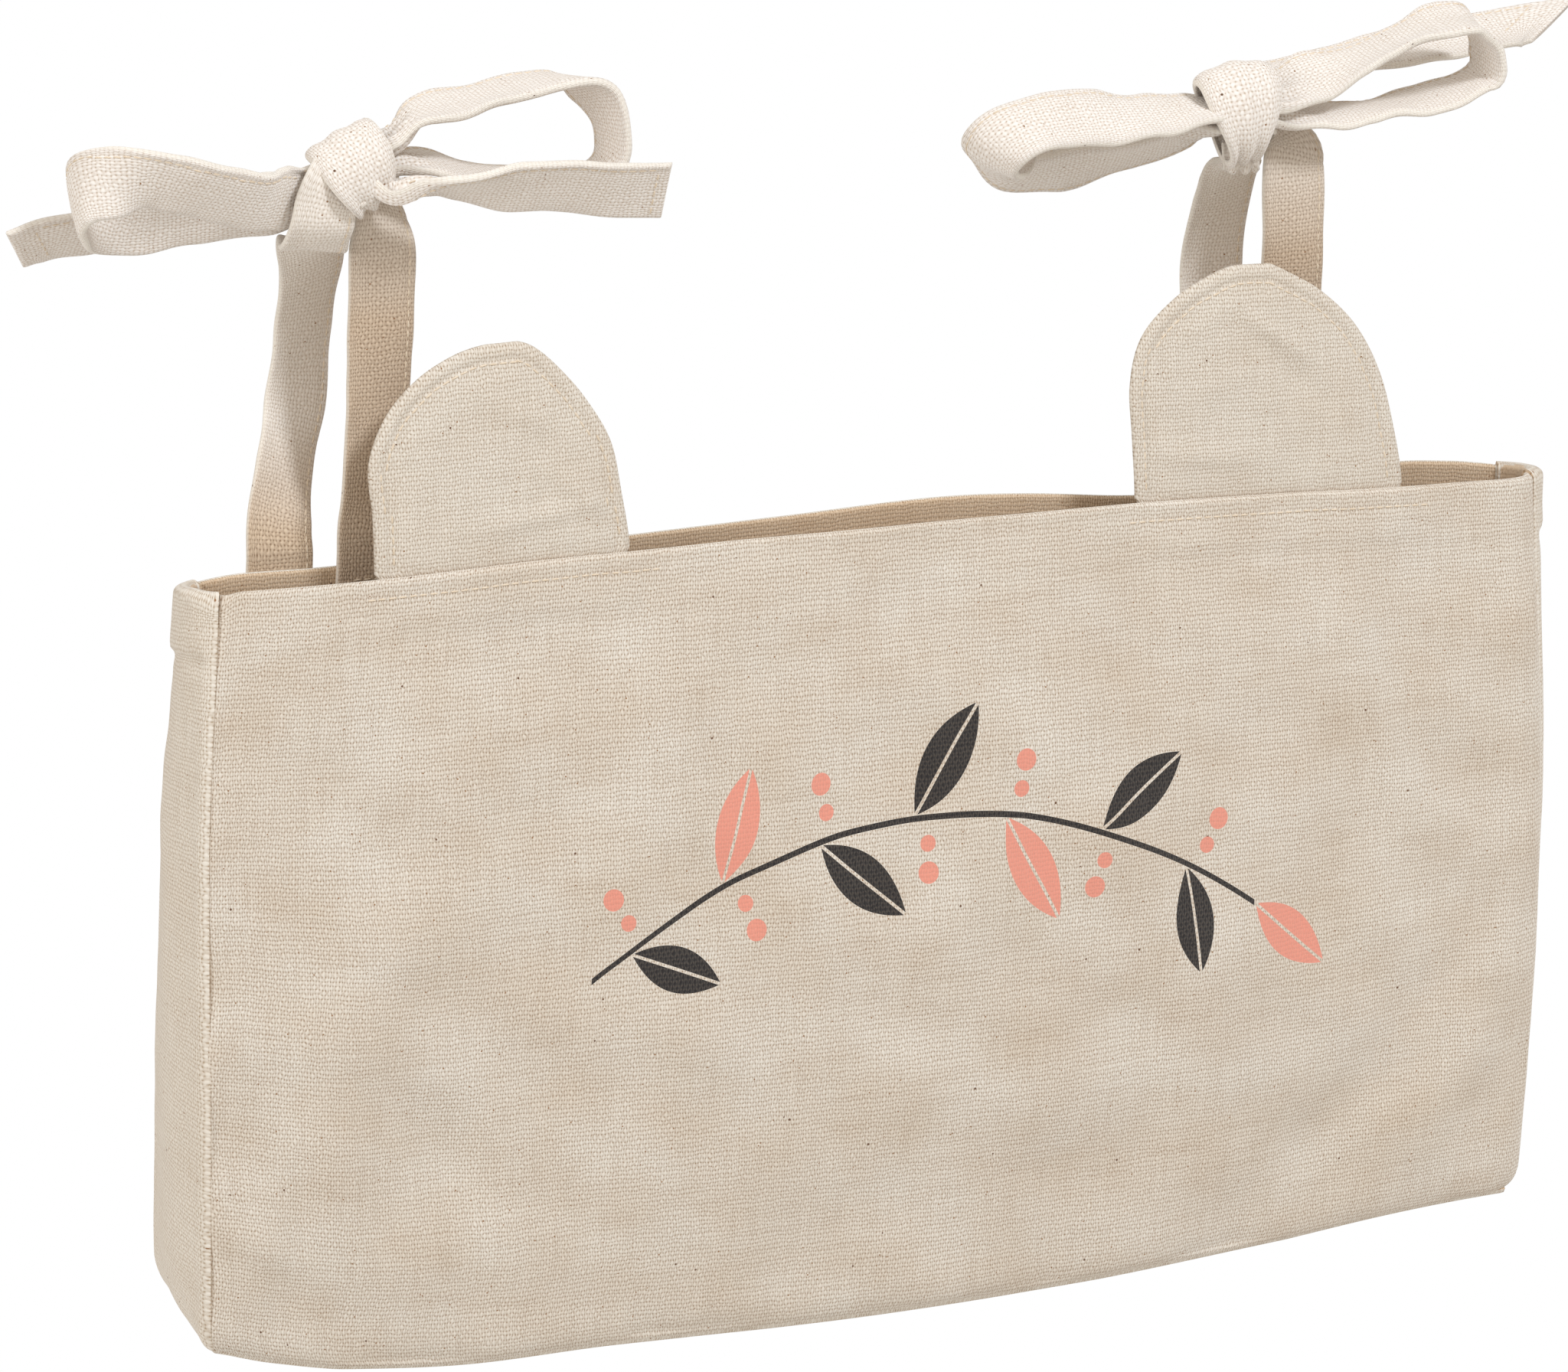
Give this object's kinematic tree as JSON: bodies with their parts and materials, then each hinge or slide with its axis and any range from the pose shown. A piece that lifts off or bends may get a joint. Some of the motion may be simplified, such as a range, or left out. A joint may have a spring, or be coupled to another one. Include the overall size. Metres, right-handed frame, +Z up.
{
  "type": "crib organizer",
  "caption": "Open-topped canvas pocket with two rounded ears on its front rim and two straps tied in bows, hung from the top rail of a cot",
  "frame": {"origin": "middle of the back panel's rim, on the panel's outer face, just under the rail that the ties hang from", "axes": "+Z up, the decorated front faces -Y, +X to the right as seen from the front; the rail runs along X between the rear and front strap legs"},
  "size_m": [0.4718, 0.079, 0.3548],
  "materials": {
    "canvas_front": "unbleached cotton canvas with flecks, printed face",
    "canvas_side": "unbleached cotton canvas, in shade",
    "canvas_ear": "unbleached cotton canvas, topstitched",
    "canvas_inside": "unbleached cotton canvas, inside of the pocket",
    "strap": "unbleached cotton canvas folded to a flat strap, edge stitched"
  },
  "bodies": {
    "ties": {"left_rear_leg": "strap", "left_front_leg": "strap", "left_knot_wrap": "strap", "right_rear_leg": "strap", "right_front_leg": "strap", "right_knot_wrap": "strap"},
    "pocket": {"front_panel": "canvas_front", "back_panel": "canvas_inside", "left_gusset": "canvas_side", "right_gusset": "canvas_side", "bottom_panel": "canvas_side", "left_ear_tab": "canvas_ear", "right_ear_tab": "canvas_ear", "left_rear_end": "strap", "left_front_end": "strap", "right_rear_end": "strap", "right_front_end": "strap"},
    "left_ear": {"left_ear_front": "canvas_ear", "left_ear_back": "canvas_ear"},
    "right_ear": {"right_ear_front": "canvas_ear", "right_ear_back": "canvas_ear"},
    "left_loop_left": {"left_loop_left": "strap"},
    "left_loop_right": {"left_loop_right": "strap"},
    "left_tail_left": {"left_tail_left": "strap"},
    "left_tail_right": {"left_tail_right": "strap"},
    "right_loop_left": {"right_loop_left": "strap"},
    "right_loop_right": {"right_loop_right": "strap"},
    "right_tail_left": {"right_tail_left": "strap"},
    "right_tail_right": {"right_tail_right": "strap"}
  },
  "joints": [
    {"name": "pocket_swing", "type": "hinge", "parent": "ties", "child": "pocket", "pos_m": [0, -0.0039, 0], "axis": [-1, 0, 0], "range_deg": [0, 8]},
    {"name": "left_ear_fold", "type": "hinge", "parent": "pocket", "child": "left_ear", "pos_m": [-0.1167, -0.02181, 0.00498], "axis": [0.9986, -0.0338, 0.0411], "range_deg": [0, 75], "stiffness_Nm_per_rad": 0.02},
    {"name": "right_ear_fold", "type": "hinge", "parent": "pocket", "child": "right_ear", "pos_m": [0.1149, -0.02173, 0.00674], "axis": [0.9989, 0.0357, -0.0307], "range_deg": [0, 75], "stiffness_Nm_per_rad": 0.02},
    {"name": "left_loop_left_turn", "type": "hinge", "parent": "ties", "child": "left_loop_left", "pos_m": [-0.166, 0, 0.1055], "axis": [0, 1, 0], "range_deg": [-3, 12]},
    {"name": "left_loop_right_turn", "type": "hinge", "parent": "ties", "child": "left_loop_right", "pos_m": [-0.149, -0.003, 0.113], "axis": [0, -1, 0], "range_deg": [-6, 10]},
    {"name": "left_tail_left_turn", "type": "hinge", "parent": "ties", "child": "left_tail_left", "pos_m": [-0.164, 0.01, 0.102], "axis": [0, 1, 0], "range_deg": [-10, 10]},
    {"name": "left_tail_right_turn", "type": "hinge", "parent": "ties", "child": "left_tail_right", "pos_m": [-0.148, -0.015, 0.1055], "axis": [0, -1, 0], "range_deg": [-12, 12]},
    {"name": "right_loop_left_turn", "type": "hinge", "parent": "ties", "child": "right_loop_left", "pos_m": [0.099, -0.002, 0.109], "axis": [0, 1, 0], "range_deg": [-10, 10]},
    {"name": "right_loop_right_turn", "type": "hinge", "parent": "ties", "child": "right_loop_right", "pos_m": [0.115, -0.004, 0.113], "axis": [0, -1, 0], "range_deg": [-10, 6]},
    {"name": "right_tail_left_turn", "type": "hinge", "parent": "ties", "child": "right_tail_left", "pos_m": [0.102, 0.011, 0.107], "axis": [0, 1, 0], "range_deg": [-10, 10]},
    {"name": "right_tail_right_turn", "type": "hinge", "parent": "ties", "child": "right_tail_right", "pos_m": [0.113, 0.012, 0.114], "axis": [0, -1, 0], "range_deg": [-4, 8]}
  ]
}
